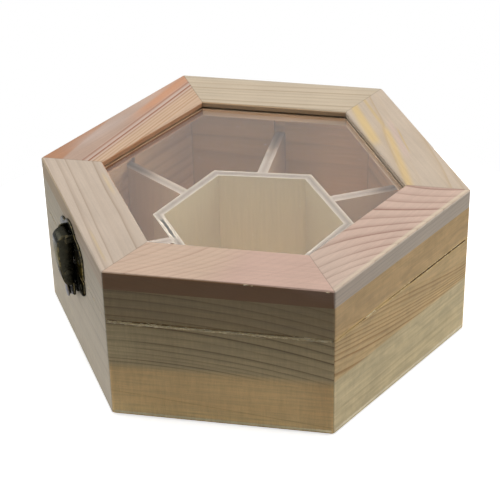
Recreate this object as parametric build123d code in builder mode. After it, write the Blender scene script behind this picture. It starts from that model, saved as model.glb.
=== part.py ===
from build123d import *
import math
import os

os.makedirs("parts", exist_ok=True)

# Six-sided wooden box with a hinged glass lid. Millimetres, +Z up, origin at the middle of the underside.
# Side 1 faces 30 degrees from +X and the others follow anticlockwise, so two corners lie on the X axis.

# The box
side_count = 6
across_corners = 180.0
base_height = 46.7
lid_height = 23.5
wall_thickness = 8.0
corner_round = 1.5
foot_ease = 1.0
seam_ease = 0.35
hinge_side = 2
latch_side = 5

# The plywood floor, in a rebate round the foot of the walls
floor_thickness = 3.0
floor_rebate = 4.0
floor_gap = 0.15

# The lid's frame and its glass
rail_width = 22.9
rail_thickness = 8.0
rail_ease = 0.5
lip_over_glass = 2.4
glass_thickness = 2.0
glass_slack = 0.2
glass_groove_depth = 5.0
glass_edge_gap = 0.6

# The insert: a six-sided cell, glued in a little turned, and a divider to the middle of each wall
cell_across_corners = 85.2
cell_turn = 3.3
cell_board = 4.0
divider_board = 4.5
dado_depth = 2.0
dado_slack = 0.15
dado_end_gap = 0.2
insert_drop = 0.3

# Nails, all of one size
nail_head_radius = 1.5
nail_head_height = 0.6
nail_shank_radius = 0.6
nail_length = 6.0
nail_point = 1.3
nail_hole_slack = 0.02
plate_hole_slack = 0.1

# Sheet metal of hinges and latch
plate_sheet = 0.8
running_gap = 0.3
pin_radius = 0.6
pin_slack = 0.05
pin_head_radius = 1.0
pin_head_height = 0.5

# The two hinges
hinge_spacing = 44.0
hinge_width = 20.0
hinge_leaf_height = 10.5
hinge_corner_round = 1.5
knuckle_radius = 1.4
middle_knuckle = 6.6
knuckle_side_gap = 0.2
hinge_nail_spacing = 13.0
hinge_nail_rise = 6.2

# The latch, with heights measured up or down from the seam between base and lid
latch_width = 33.0
latch_seam_gap = 0.6
lobe_half_width = 9.2
corner_lobe_drop = 3.8
corner_lobe_inset = 1.46
corner_lobe_sag = 0.46
upper_shoulder = 14.1
upper_peak = 18.8
lower_shoulder = 9.5
lower_peak = 13.9
latch_nail_spacing = 24.4
upper_nail_rise = 6.8
lower_nail_drop = 5.2

# The latch tongue: a pressed trough that swings on a pin between the plate's two ears
tongue_width = 8.0
tongue_sheet = 0.9
flange_sheet = 0.8
pivot_rise = 13.7
barrel_radius = 1.4
ear_radius = 1.8
ear_sheet = 0.9
shoulder_radius = 4.0
belly_stand = 7.2
chin_stand = 5.7
chin_drop = 5.4
front_bow = 0.35
hook_stand = 3.4
hook_drop = 9.3
hook_curl_bow = 0.72
hook_lip = 0.22
hollow_head = 0.45
tail_drop = 15.7
tail_corner_round = 2.6
nose_stand = 3.4
nose_width = 5.2
nose_height = 4.5
nose_tip = 1.5
hook_gap = 0.4

# The pull knob riveted to the tongue's tail
knob_drop = 13.1
knob_radius = 2.7
knob_waist_radius = 1.4
knob_foot_radius = 2.1
knob_length = 2.9
knob_disc = 0.8
knob_dome = 0.4
knob_foot = 0.4
knob_shank_radius = 0.8

# Sizes that follow
half_corner = math.radians(180 / side_count)
corner_radius = across_corners / 2
outer_apothem = corner_radius * math.cos(half_corner)
half_side = corner_radius * math.sin(half_corner)
wall_inner = outer_apothem - wall_thickness
rail_inner = outer_apothem - rail_width
total_height = base_height + lid_height
rail_bottom = total_height - rail_thickness
glass_bottom = total_height - lip_over_glass - glass_slack - glass_thickness
insert_top = base_height - insert_drop
cell_apothem = cell_across_corners / 2 * math.cos(half_corner)
pin_bore = pin_radius + pin_slack
knuckle_stand = knuckle_radius + running_gap
back_stand = plate_sheet + running_gap
pivot_stand = back_stand + barrel_radius


def side_angle(side):
    """Direction in which a side faces, in degrees from +X."""
    return (side - 0.5) * 360 / side_count


def plan_plane(side, height, turn=0.0):
    """Level plane on the box's axis whose x axis runs out through the middle of a side."""
    angle = math.radians(side_angle(side) + turn)
    return Plane((0, 0, height), x_dir=(math.cos(angle), math.sin(angle), 0), z_dir=(0, 0, 1))


def face_plane(side, along=0.0):
    """Plane on a side's outer face at the seam: x runs along the face, y runs up and z outwards."""
    angle = math.radians(side_angle(side))
    outward = Vector(math.cos(angle), math.sin(angle), 0)
    level = Vector(-math.sin(angle), math.cos(angle), 0)
    origin = outward * outer_apothem + level * along + Vector(0, 0, base_height)
    return Plane(origin, x_dir=level, z_dir=outward)


def profile_plane(side, along=0.0):
    """Plane square to a side's face at the seam: x runs outwards and y runs up."""
    face = face_plane(side, along)
    return Plane(face.origin, x_dir=face.z_dir, z_dir=face.z_dir.cross(face.y_dir))


def outward_axis(side):
    """Axis from the middle of the box out through a side."""
    angle = math.radians(side_angle(side))
    return Axis((0, 0, 0), (math.cos(angle), math.sin(angle), 0))


def polar(radius, angle):
    """Point of a sketch at a radius and an angle in radians."""
    return (radius * math.cos(angle), radius * math.sin(angle))


def outline_board(inner_apothem):
    """Plan of one mitred board whose outer corners are rounded where two boards meet."""
    round_centre = corner_radius - corner_round / math.cos(half_corner)
    straight = half_side - corner_round * math.tan(half_corner)
    inner_points = []
    for way in (-1, 1):
        centre = Vector(*polar(round_centre, way * half_corner))
        mitre_point = centre + Vector(*polar(corner_round, way * half_corner))
        middle = centre + Vector(*polar(corner_round, way * half_corner / 2))
        inner_point = (inner_apothem, way * inner_apothem * math.tan(half_corner))
        Line(inner_point, mitre_point)
        ThreePointArc(mitre_point, middle, (outer_apothem, way * straight))
        inner_points.append(inner_point)
    Line((outer_apothem, -straight), (outer_apothem, straight))
    Line(*inner_points)


def outline_strip(inner_apothem, outer_apothem_of_strip):
    """Plan of one mitred strip with sharp corners."""
    reach = math.tan(half_corner)
    Polyline(
        (inner_apothem, -inner_apothem * reach),
        (outer_apothem_of_strip, -outer_apothem_of_strip * reach),
        (outer_apothem_of_strip, outer_apothem_of_strip * reach),
        (inner_apothem, inner_apothem * reach),
        close=True,
    )


# Each divider starts on the middle of a turned cell board and ends in the middle of an unturned wall.
divider_start = Vector(*polar(cell_apothem, math.radians(cell_turn)))
divider_end = wall_inner + dado_depth - dado_end_gap
divider_way = (Vector(divider_end, 0) - divider_start).normalized()
divider_skew = math.atan2(abs(divider_way.Y), divider_way.X)
dado_half_width = (
    divider_board / 2 / math.cos(divider_skew) + dado_depth * math.tan(divider_skew) + dado_slack
)


def divider_corners():
    """Plan corners of a divider, cut to the cell's face at one end and to the dado at the other."""
    cell_normal = Vector(*polar(1, math.radians(cell_turn)))
    across = Vector(-divider_way.Y, divider_way.X)
    corners = []
    for way, at_wall in ((-1, False), (1, False), (1, True), (-1, True)):
        edge = divider_start + across * (way * divider_board / 2)
        if at_wall:
            run = (divider_end - edge.X) / divider_way.X
        else:
            run = (divider_start - edge).dot(cell_normal) / divider_way.dot(cell_normal)
        corner = edge + divider_way * run
        corners.append((corner.X, corner.Y))
    return corners


def dome_point(radius, height):
    """Point half way out on a low dome: its distance from the axis and its height over the rim."""
    sphere = (radius**2 + height**2) / (2 * height)
    return radius / 2, math.sqrt(sphere**2 - radius**2 / 4) - sphere + height


def outline_nail():
    """Half profile of a nail: x is its radius, and y runs out of the wood from under the head."""
    Polyline(
        (0, 0),
        (0, -nail_length),
        (nail_shank_radius, nail_point - nail_length),
        (nail_shank_radius, 0),
        (nail_head_radius, 0),
    )
    ThreePointArc(
        (nail_head_radius, 0), dome_point(nail_head_radius, nail_head_height), (0, nail_head_height)
    )
    Line((0, nail_head_height), (0, 0))


def outline_latch_plate(way, shoulder, peak):
    """Outline of a latch plate: a tall middle lobe between two corner lobes, away from the seam."""
    half = latch_width / 2
    side_end = shoulder - corner_lobe_drop
    lobe_middle = half - corner_lobe_inset
    lobe_top = shoulder - corner_lobe_sag
    for hand in (-1, 1):
        Line((0, way * latch_seam_gap), (hand * half, way * latch_seam_gap))
        Line((hand * half, way * latch_seam_gap), (hand * half, way * side_end))
        ThreePointArc(
            (hand * half, way * side_end),
            (hand * lobe_middle, way * lobe_top),
            (hand * lobe_half_width, way * shoulder),
        )
    ThreePointArc(
        (-lobe_half_width, way * shoulder), (0, way * peak), (lobe_half_width, way * shoulder)
    )


# Nail places on each face, as pairs along the face and up from the seam
hinge_nail_lines = [
    way * hinge_spacing / 2 + hand * hinge_nail_spacing / 2 for way in (-1, 1) for hand in (-1, 1)
]
base_nails = {
    hinge_side: [(along, -hinge_nail_rise) for along in hinge_nail_lines],
    latch_side: [(hand * latch_nail_spacing / 2, -lower_nail_drop) for hand in (-1, 1)],
}
lid_nails = {
    hinge_side: [(along, hinge_nail_rise) for along in hinge_nail_lines],
    latch_side: [(hand * latch_nail_spacing / 2, upper_nail_rise) for hand in (-1, 1)],
}
nail_hole_radius = nail_shank_radius + nail_hole_slack
nail_hole_depth = nail_length - plate_sheet + nail_hole_slack

# Base walls: mitred boards with a rebate for the floor and a dado for the divider
for side in range(1, side_count + 1):
    with BuildPart() as base_wall:
        with BuildSketch(plan_plane(side, 0)):
            with BuildLine():
                outline_board(wall_inner)
            make_face()
        extrude(amount=base_height)
        outer_foot = base_wall.edges().group_by(Axis.Z)[0].sort_by(outward_axis(side))[-3:]
        chamfer(outer_foot, foot_ease)
        outer_rim = base_wall.edges().group_by(Axis.Z)[-1].sort_by(outward_axis(side))[-3:]
        chamfer(outer_rim, seam_ease)
        with BuildSketch(plan_plane(side, 0)):
            Rectangle(wall_inner + floor_rebate, across_corners, align=(Align.MIN, Align.CENTER))
        extrude(amount=floor_thickness, mode=Mode.SUBTRACT)
        with BuildSketch(plan_plane(side, 0)):
            Rectangle(wall_inner + dado_depth, 2 * dado_half_width, align=(Align.MIN, Align.CENTER))
        extrude(amount=base_height, mode=Mode.SUBTRACT)
        if side in base_nails:
            with BuildSketch(face_plane(side)):
                with Locations(*base_nails[side]):
                    Circle(nail_hole_radius)
            extrude(amount=-nail_hole_depth, mode=Mode.SUBTRACT)
    base_wall.part.label = f"base_wall_{side}"
    export_step(base_wall.part, f"parts/base_wall_{side}.step")

# Floor: one plywood panel in the walls' rebate, flush with their underside
with BuildPart() as base_floor:
    with BuildSketch(Plane.XY):
        RegularPolygon(wall_inner + floor_rebate - floor_gap, side_count, major_radius=False)
    extrude(amount=floor_thickness)
base_floor.part.label = "base_floor"
export_step(base_floor.part, "parts/base_floor.step")

# Cell boards: six mitred strips that stand on the floor in the middle of the box
for side in range(1, side_count + 1):
    with BuildPart() as cell_wall:
        with BuildSketch(plan_plane(side, floor_thickness, cell_turn)):
            with BuildLine():
                outline_strip(cell_apothem - cell_board, cell_apothem)
            make_face()
        extrude(amount=insert_top - floor_thickness)
    cell_wall.part.label = f"cell_wall_{side}"
    export_step(cell_wall.part, f"parts/cell_wall_{side}.step")

# Dividers: from each cell board into the dado of the wall in front of it
for side in range(1, side_count + 1):
    with BuildPart() as divider:
        with BuildSketch(plan_plane(side, floor_thickness)):
            with BuildLine():
                Polyline(*divider_corners(), close=True)
            make_face()
        extrude(amount=insert_top - floor_thickness)
    divider.part.label = f"divider_{side}"
    export_step(divider.part, f"parts/divider_{side}.step")

# Lid walls: the upper strip of the same boards, so the dadoes run on into them
for side in range(1, side_count + 1):
    with BuildPart() as lid_wall:
        with BuildSketch(plan_plane(side, base_height)):
            with BuildLine():
                outline_board(wall_inner)
            make_face()
        extrude(amount=rail_bottom - base_height)
        outer_rim = lid_wall.edges().group_by(Axis.Z)[0].sort_by(outward_axis(side))[-3:]
        chamfer(outer_rim, seam_ease)
        with BuildSketch(plan_plane(side, base_height)):
            Rectangle(wall_inner + dado_depth, 2 * dado_half_width, align=(Align.MIN, Align.CENTER))
        extrude(amount=rail_bottom - base_height, mode=Mode.SUBTRACT)
        if side in lid_nails:
            with BuildSketch(face_plane(side)):
                with Locations(*lid_nails[side]):
                    Circle(nail_hole_radius)
            extrude(amount=-nail_hole_depth, mode=Mode.SUBTRACT)
    lid_wall.part.label = f"lid_wall_{side}"
    export_step(lid_wall.part, f"parts/lid_wall_{side}.step")

# Frame rails: broad mitred boards on top of the lid walls, grooved for the glass
for side in range(1, side_count + 1):
    with BuildPart() as lid_rail:
        with BuildSketch(plan_plane(side, rail_bottom)):
            with BuildLine():
                outline_board(rail_inner)
            make_face()
        extrude(amount=rail_thickness)
        outer_top = lid_rail.edges().group_by(Axis.Z)[-1].sort_by(outward_axis(side))[-3:]
        inner_top = lid_rail.edges().group_by(Axis.Z)[-1].sort_by(outward_axis(side))[:1]
        chamfer(outer_top + inner_top, rail_ease)
        with BuildSketch(plan_plane(side, glass_bottom)):
            Rectangle(rail_inner + glass_groove_depth, across_corners, align=(Align.MIN, Align.CENTER))
        extrude(amount=glass_thickness + glass_slack, mode=Mode.SUBTRACT)
    lid_rail.part.label = f"lid_rail_{side}"
    export_step(lid_rail.part, f"parts/lid_rail_{side}.step")

# Glass: one flat pane that lies in the rails' groove
with BuildPart() as glass_pane:
    with BuildSketch(Plane.XY.offset(glass_bottom)):
        RegularPolygon(rail_inner + glass_groove_depth - glass_edge_gap, side_count, major_radius=False)
    extrude(amount=glass_thickness)
glass_pane.part.label = "glass_pane"
export_step(glass_pane.part, "parts/glass_pane.step")

# Hinge leaves: a flat plate on the outside of the back wall, with knuckles round the pin at the seam
knuckle_ends = {
    "base": [(-hinge_width / 2, -middle_knuckle / 2), (middle_knuckle / 2, hinge_width / 2)],
    "lid": [(knuckle_side_gap - middle_knuckle / 2, middle_knuckle / 2 - knuckle_side_gap)],
}
notch_spans = {
    "base": [(-middle_knuckle / 2, middle_knuckle / 2)],
    "lid": [
        (-hinge_width, knuckle_side_gap - middle_knuckle / 2),
        (middle_knuckle / 2 - knuckle_side_gap, hinge_width),
    ],
}
leaf_way = {"base": -1, "lid": 1}
for number, place in ((1, -hinge_spacing / 2), (2, hinge_spacing / 2)):
    for owner in ("base", "lid"):
        way = leaf_way[owner]
        with BuildPart() as leaf:
            with BuildSketch(face_plane(hinge_side, place)):
                with Locations((0, way * hinge_leaf_height / 2)):
                    Rectangle(hinge_width, hinge_leaf_height)
                far_corners = vertices().group_by(Axis.Y)[-1 if way > 0 else 0]
                fillet(far_corners, hinge_corner_round)
                for start, end in notch_spans[owner]:
                    with Locations(((start + end) / 2, 0)):
                        Rectangle(end - start, 2 * (knuckle_radius + running_gap), mode=Mode.SUBTRACT)
                with Locations(*[(hand * hinge_nail_spacing / 2, way * hinge_nail_rise) for hand in (-1, 1)]):
                    Circle(nail_shank_radius + plate_hole_slack, mode=Mode.SUBTRACT)
            extrude(amount=plate_sheet)
            for start, end in knuckle_ends[owner]:
                with BuildSketch(profile_plane(hinge_side, place + end)):
                    with Locations((knuckle_stand, 0)):
                        Circle(knuckle_radius)
                extrude(amount=end - start)
            with BuildSketch(profile_plane(hinge_side, place + hinge_width)):
                with Locations((knuckle_stand, 0)):
                    Circle(pin_bore)
            extrude(amount=2 * hinge_width, mode=Mode.SUBTRACT)
        leaf.part.label = f"hinge_{number}_{owner}_leaf"
        export_step(leaf.part, f"parts/hinge_{number}_{owner}_leaf.step")

# Hinge pins: held in the base leaf's two knuckles, with a small head at each end
for number, place in ((1, -hinge_spacing / 2), (2, hinge_spacing / 2)):
    with BuildPart() as hinge_pin:
        with BuildSketch(profile_plane(hinge_side, place)):
            with Locations((knuckle_stand, 0)):
                Circle(pin_radius)
        extrude(amount=hinge_width / 2, both=True)
        for end, way in ((hinge_width / 2, -1), (-hinge_width / 2, 1)):
            with BuildSketch(profile_plane(hinge_side, place + end)):
                with Locations((knuckle_stand, 0)):
                    Circle(pin_head_radius)
            extrude(amount=way * pin_head_height)
    hinge_pin.part.label = f"hinge_{number}_pin"
    export_step(hinge_pin.part, f"parts/hinge_{number}_pin.step")

# Latch plate on the lid, with two ears that hold the pin of the tongue
ear_inside = tongue_width / 2 + running_gap
with BuildPart() as latch_plate:
    with BuildSketch(face_plane(latch_side)):
        with BuildLine():
            outline_latch_plate(1, upper_shoulder, upper_peak)
        make_face()
        with Locations(*lid_nails[latch_side]):
            Circle(nail_shank_radius + plate_hole_slack, mode=Mode.SUBTRACT)
    extrude(amount=plate_sheet)
    for start in (-ear_inside, ear_inside + ear_sheet):
        with BuildSketch(profile_plane(latch_side, start)):
            with Locations((pivot_stand, pivot_rise)):
                Circle(ear_radius)
            with Locations((0, pivot_rise)):
                Rectangle(pivot_stand, 2 * ear_radius, align=(Align.MIN, Align.CENTER))
            with Locations((pivot_stand, pivot_rise)):
                Circle(pin_bore, mode=Mode.SUBTRACT)
        extrude(amount=ear_sheet)
latch_plate.part.label = "latch_plate"
export_step(latch_plate.part, "parts/latch_plate.step")

# Pin of the latch: through both ears and the tongue's barrel, with a head at each end
with BuildPart() as latch_pin:
    with BuildSketch(profile_plane(latch_side)):
        with Locations((pivot_stand, pivot_rise)):
            Circle(pin_radius)
    extrude(amount=ear_inside + ear_sheet, both=True)
    for end, way in ((ear_inside + ear_sheet, -1), (-ear_inside - ear_sheet, 1)):
        with BuildSketch(profile_plane(latch_side, end)):
            with Locations((pivot_stand, pivot_rise)):
                Circle(pin_head_radius)
        extrude(amount=way * pin_head_height)
latch_pin.part.label = "latch_pin"
export_step(latch_pin.part, "parts/latch_pin.step")

# Latch tongue: outside form first, then the hollow that opens towards the box, then the pin's bore
shoulder_centre = Vector(belly_stand - shoulder_radius, pivot_rise + barrel_radius - shoulder_radius)
belly = Vector(belly_stand, shoulder_centre.Y)
chin = Vector(chin_stand, -chin_drop)
hook = Vector(hook_stand, -hook_drop)
tail_front = back_stand + tongue_sheet
with BuildPart() as latch_tongue:
    with BuildSketch(profile_plane(latch_side)):
        with BuildLine():
            Polyline(
                (hook.X, hook.Y),
                (tail_front, -hook_drop),
                (tail_front, -tail_drop),
                (back_stand, -tail_drop),
                (back_stand, pivot_rise),
            )
            CenterArc((pivot_stand, pivot_rise), barrel_radius, 90, 90)
            Line((pivot_stand, pivot_rise + barrel_radius), (shoulder_centre.X, pivot_rise + barrel_radius))
            CenterArc(shoulder_centre, shoulder_radius, 0, 90)
            ThreePointArc(belly, (belly + chin) / 2 + Vector(front_bow, 0), chin)
            curl_middle = (chin + hook) / 2 + Vector(1, -1).normalized() * hook_curl_bow
            ThreePointArc(chin, curl_middle, hook)
        make_face()
    extrude(amount=tongue_width / 2, both=True)
    tail_corners = latch_tongue.edges().filter_by(outward_axis(latch_side)).group_by(Axis.Z)[0]
    fillet(tail_corners, tail_corner_round)
    hollow_top = pivot_rise - barrel_radius - hollow_head
    inner_belly = Vector(belly_stand - tongue_sheet, hollow_top)
    inner_chin = Vector(chin_stand - tongue_sheet, -chin_drop)
    inner_hook = Vector(hook_stand - hook_lip, tongue_sheet - hook_drop)
    with BuildSketch(profile_plane(latch_side)):
        with BuildLine():
            Polyline(inner_hook, (0, inner_hook.Y), (0, hollow_top), inner_belly)
            ThreePointArc(
                inner_belly, (inner_belly + inner_chin) / 2 + Vector(front_bow, 0), inner_chin
            )
            Line(inner_chin, inner_hook)
        make_face()
    extrude(amount=tongue_width / 2 - flange_sheet, both=True, mode=Mode.SUBTRACT)
    with BuildSketch(profile_plane(latch_side)):
        with Locations((pivot_stand, pivot_rise)):
            Circle(pin_bore)
    extrude(amount=tongue_width, both=True, mode=Mode.SUBTRACT)
    with BuildSketch(face_plane(latch_side)):
        with Locations((0, -knob_drop)):
            Circle(knob_shank_radius + nail_hole_slack)
    extrude(amount=belly_stand, mode=Mode.SUBTRACT)
latch_tongue.part.label = "latch_tongue"
export_step(latch_tongue.part, "parts/latch_tongue.step")

# Pull knob: a little turned spool riveted through the tongue's tail
knob_top = tail_front + knob_length
knob_plane = profile_plane(latch_side)
with BuildPart() as latch_knob:
    with BuildSketch(knob_plane):
        with BuildLine():
            Polyline(
                (knob_top, -knob_drop),
                (back_stand, -knob_drop),
                (back_stand, knob_shank_radius - knob_drop),
                (tail_front, knob_shank_radius - knob_drop),
                (tail_front, knob_foot_radius - knob_drop),
                (tail_front + knob_foot, knob_foot_radius - knob_drop),
            )
            waist_stand = (tail_front + knob_foot + knob_top - knob_disc) / 2
            ThreePointArc(
                (tail_front + knob_foot, knob_foot_radius - knob_drop),
                (waist_stand, knob_waist_radius - knob_drop),
                (knob_top - knob_disc, knob_radius - knob_drop),
            )
            disc_edge = (knob_top - knob_dome, knob_radius - knob_drop)
            dome_out, dome_rise = dome_point(knob_radius, knob_dome)
            Line((knob_top - knob_disc, knob_radius - knob_drop), disc_edge)
            ThreePointArc(disc_edge, (disc_edge[0] + dome_rise, dome_out - knob_drop), (knob_top, -knob_drop))
        make_face()
    revolve(axis=Axis(knob_plane.from_local_coords((0, -knob_drop, 0)), knob_plane.x_dir))
latch_knob.part.label = "latch_knob"
export_step(latch_knob.part, "parts/latch_knob.step")

# Catch plate on the base, with a nose that the tongue's hook lies under
nose_foot = tongue_sheet + hook_gap - hook_drop
with BuildPart() as latch_catch:
    with BuildSketch(face_plane(latch_side)):
        with BuildLine():
            outline_latch_plate(-1, lower_shoulder, lower_peak)
        make_face()
        with Locations(*base_nails[latch_side]):
            Circle(nail_shank_radius + plate_hole_slack, mode=Mode.SUBTRACT)
    extrude(amount=plate_sheet)
    with BuildSketch(profile_plane(latch_side)):
        with BuildLine():
            Polyline(
                (plate_sheet / 2, nose_foot),
                (nose_stand, nose_foot),
                (nose_stand, nose_foot + nose_tip),
                (plate_sheet / 2, nose_foot + nose_height),
                close=True,
            )
        make_face()
    extrude(amount=nose_width / 2, both=True)
latch_catch.part.label = "latch_catch"
export_step(latch_catch.part, "parts/latch_catch.step")

# Nails, one group for each row of leaves or plate
nail_groups = {
    "hinge_nails_base": (hinge_side, base_nails[hinge_side]),
    "hinge_nails_lid": (hinge_side, lid_nails[hinge_side]),
    "latch_nails_base": (latch_side, base_nails[latch_side]),
    "latch_nails_lid": (latch_side, lid_nails[latch_side]),
}
for group, (side, places) in nail_groups.items():
    with BuildPart() as nails:
        for along, rise in places:
            face = face_plane(side, along)
            centre = face.from_local_coords((0, rise, plate_sheet))
            with BuildSketch(Plane(centre, x_dir=face.x_dir, z_dir=face.x_dir.cross(face.z_dir))):
                with BuildLine():
                    outline_nail()
                make_face()
            revolve(axis=Axis(centre, face.z_dir))
    nails.part.label = group
    export_step(nails.part, f"parts/{group}.step")
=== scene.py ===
# %% [markdown]
# # A six-sided wooden box with a glass lid
# The box is a pine case, sawn open into a base and a lid after it was glued up. The lid is a frame of six
# broad rails round a pane of glass, and inside stands a plywood insert: a six-sided cell with a divider to
# the middle of each wall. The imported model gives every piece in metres, and this lesson adds what the eye
# reads as wood, glass and metal.

import math
from functools import partial

import bmesh
import bpy
import numpy as np
from mathutils import Matrix, Vector


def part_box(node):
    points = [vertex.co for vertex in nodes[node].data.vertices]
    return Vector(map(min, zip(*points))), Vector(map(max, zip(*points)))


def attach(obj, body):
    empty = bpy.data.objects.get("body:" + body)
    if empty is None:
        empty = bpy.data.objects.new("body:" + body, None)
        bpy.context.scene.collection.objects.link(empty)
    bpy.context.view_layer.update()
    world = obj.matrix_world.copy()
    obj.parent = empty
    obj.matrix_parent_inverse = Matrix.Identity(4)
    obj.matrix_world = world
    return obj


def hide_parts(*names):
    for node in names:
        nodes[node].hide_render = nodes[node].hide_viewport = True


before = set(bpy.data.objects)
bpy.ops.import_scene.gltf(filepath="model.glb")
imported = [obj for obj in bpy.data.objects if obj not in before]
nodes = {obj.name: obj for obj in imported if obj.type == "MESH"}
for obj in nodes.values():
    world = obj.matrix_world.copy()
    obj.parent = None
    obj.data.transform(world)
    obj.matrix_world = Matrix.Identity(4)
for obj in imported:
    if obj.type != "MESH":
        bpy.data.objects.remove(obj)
scene = bpy.context.scene


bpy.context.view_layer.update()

# %% [markdown]
# ## The camera
# The photograph was taken from some way off with a long lens, because the box's parallel edges stay almost
# parallel. Its place and turn come from the corners of the two hexagons, so they are written as three
# directions rather than as angles: right, up and back, seen from behind the lens.

# %% Camera
camera_data = bpy.data.cameras.new("camera")
camera_data.lens = 130.94
camera_data.sensor_width = 36.0
camera_data.clip_start = 0.05
camera_data.clip_end = 20.0
camera = bpy.data.objects.new("camera", camera_data)
scene.collection.objects.link(camera)
camera_right = Vector((0.34370456, 0.93886554, -0.01996673))
camera_up = Vector((-0.52593643, 0.21006503, 0.82417447))
camera_back = Vector((0.77798332, -0.27277129, 0.5659839))
camera.matrix_world = (
    Matrix.Translation((0.6001, -0.21211, 0.46876))
    @ Matrix((camera_right, camera_up, camera_back)).transposed().to_4x4()
)
scene.camera = camera
scene.view_settings.view_transform = "Standard"
print("camera at", tuple(round(value, 3) for value in camera.location))

# %% [markdown]
# ## Nodes and colours
# Every finish below is a tree of shader nodes. One helper adds a node, sets it and links it, so that a tree
# reads from top to bottom like a recipe. Colours are written as the sRGB hex values that a colour picker
# shows, and turned to linear light once, here.

# %% Helpers for materials
def linear(hex_colour):
    """Linear RGBA of an sRGB hex colour: values under 0.04045 are divided by 12.92, others follow a power of 2.4."""
    values = np.array([int(hex_colour[i : i + 2], 16) for i in (1, 3, 5)]) / 255
    light = np.where(values <= 0.04045, values / 12.92, ((values + 0.055) / 1.055) ** 2.4)
    return (*(float(value) for value in light), 1.0)


def add_node(tree, kind, inputs=None, stops=None, pick=0, **settings):
    """Adds one node and gives back its picked output, if it has outputs. Kind may hold an operation as its second
    word. Settings are the node's own properties. Inputs are numbers, hex colours or links, by input name. Stops
    fill a colour ramp."""
    kind, _, operation = kind.partition(" ")
    node = tree.nodes.new("ShaderNode" + kind)
    if operation:
        node.operation = operation
    for name, value in settings.items():
        setattr(node, name, value)
    for name, value in (inputs or {}).items():
        if isinstance(value, bpy.types.NodeSocket):
            tree.links.new(value, node.inputs[name])
        else:
            node.inputs[name].default_value = linear(value) if isinstance(value, str) else value
    if stops:
        ramp = node.color_ramp
        while len(ramp.elements) < len(stops):
            ramp.elements.new(1.0)
        for element, (place, shade) in zip(ramp.elements, stops):
            element.position = place
            element.color = linear(shade) if isinstance(shade, str) else (shade, shade, shade, 1.0)
    return node.outputs[pick] if node.outputs else None


def new_material(name):
    """An empty material, and the function that adds nodes to it. The last one added is its output."""
    material = bpy.data.materials.new(name)
    material.use_nodes = True
    material.node_tree.nodes.clear()
    return material, partial(add_node, material.node_tree)


def dress(names, material):
    """Gives CAD nodes or other objects one material on all their faces."""
    for name in names:
        mesh = nodes[name].data if name in nodes else bpy.data.objects[name].data
        mesh.materials.clear()
        mesh.materials.append(material)


print("white is", linear("#FFFFFF")[:3])

# %% [markdown]
# ## Light and surroundings
# Goods are photographed on a white table under a large soft light, here with one panel overhead and two weaker
# ones at the right and the left. The side towards the camera has no panel, so the front wall is lit mostly by
# the table: light at its foot and dark under the lid. The camera, mirrors and glass see plain white all round.

# %% World
def seen_directly(add):
    """1 for rays from the camera, off mirrors and out of glass, and 0 for the light that falls on things."""
    path = add("LightPath").node.outputs
    mirror = add("Math MAXIMUM", {0: path["Is Glossy Ray"], 1: path["Is Transmission Ray"]})
    return add("Math MAXIMUM", {0: path["Is Camera Ray"], 1: mirror})


world = bpy.data.worlds.new("white surroundings")
scene.world = world
world.use_nodes = True
world.node_tree.nodes.clear()
add = partial(add_node, world.node_tree)
dim = add("Background", {"Color": "#FFFFFF", "Strength": 0.02})
plain = add("Background", {"Color": "#FFFFFF", "Strength": 1.0})
both = add("MixShader", {0: seen_directly(add), 1: dim, 2: plain})
add("OutputWorld", {"Surface": both})
print("world nodes:", len(world.node_tree.nodes))

# %% Lamps
def panel(name, azimuth, elevation, distance, width, height, share, mirrored=False, seen_through=False):
    """A soft panel aimed at the box. Share is its part of the light on a level surface facing it, and the
    power follows as share x pi x pi x distance squared, which is what a small lamp would need. Unless it
    is mirrored, reflections show the plain white behind it, so that the pane carries no square of light. The
    pane's lower face mirrors too, by rays that leave again through the glass: they meet the panel only where
    it is seen through."""
    lamp = bpy.data.lights.new(name, "AREA")
    lamp.shape = "RECTANGLE"
    lamp.size = width
    lamp.size_y = height
    lamp.energy = share * math.pi**2 * distance**2
    holder = bpy.data.objects.new(name, lamp)
    scene.collection.objects.link(holder)
    a, e = math.radians(azimuth), math.radians(elevation)
    direction = Vector((math.cos(a) * math.cos(e), math.sin(a) * math.cos(e), math.sin(e)))
    aim = Vector((0, 0, 0.03))
    holder.rotation_euler = direction.to_track_quat("Z", "Y").to_euler()
    holder.location = aim + direction * distance
    holder.visible_glossy = mirrored
    holder.visible_transmission = seen_through
    return holder


panel("overhead_panel", 150, 87, 1.1, 0.6, 0.6, 0.72, seen_through=True)
panel("right_panel", 78, 22, 1.0, 0.7, 0.6, 0.60)
left_panel = panel("left_panel", 232, 22, 1.0, 0.7, 0.6, 0.37, mirrored=True)

# %% Table top
table_radius = 0.16


def disc(name, radius, z, sides=96):
    """A level round sheet: its rim is the points (radius cos a, radius sin a)."""
    angle = np.linspace(0, 2 * math.pi, sides, endpoint=False)
    rim = np.stack([radius * np.cos(angle), radius * np.sin(angle), np.full(sides, z)], axis=1)
    mesh = bpy.data.meshes.new(name)
    mesh.from_pydata(rim.tolist(), [], [list(range(sides))])
    sheet = bpy.data.objects.new(name, mesh)
    scene.collection.objects.link(sheet)
    return sheet


table, add = new_material("white matt table top")
matt = add("BsdfDiffuse", {"Color": "#F6F6F6", "Roughness": 1.0})
lift = add("Math MULTIPLY", {0: seen_directly(add), 1: 0.72})
glow = add("Emission", {"Color": "#FFFFFF", "Strength": lift})
together = add("AddShader", {0: matt, 1: glow})
add("OutputMaterial", {"Surface": together})
floor = disc("table_top", table_radius, -0.0002)
floor.data.materials.append(table)
print("table top is", 2 * table_radius, "m wide")

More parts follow.
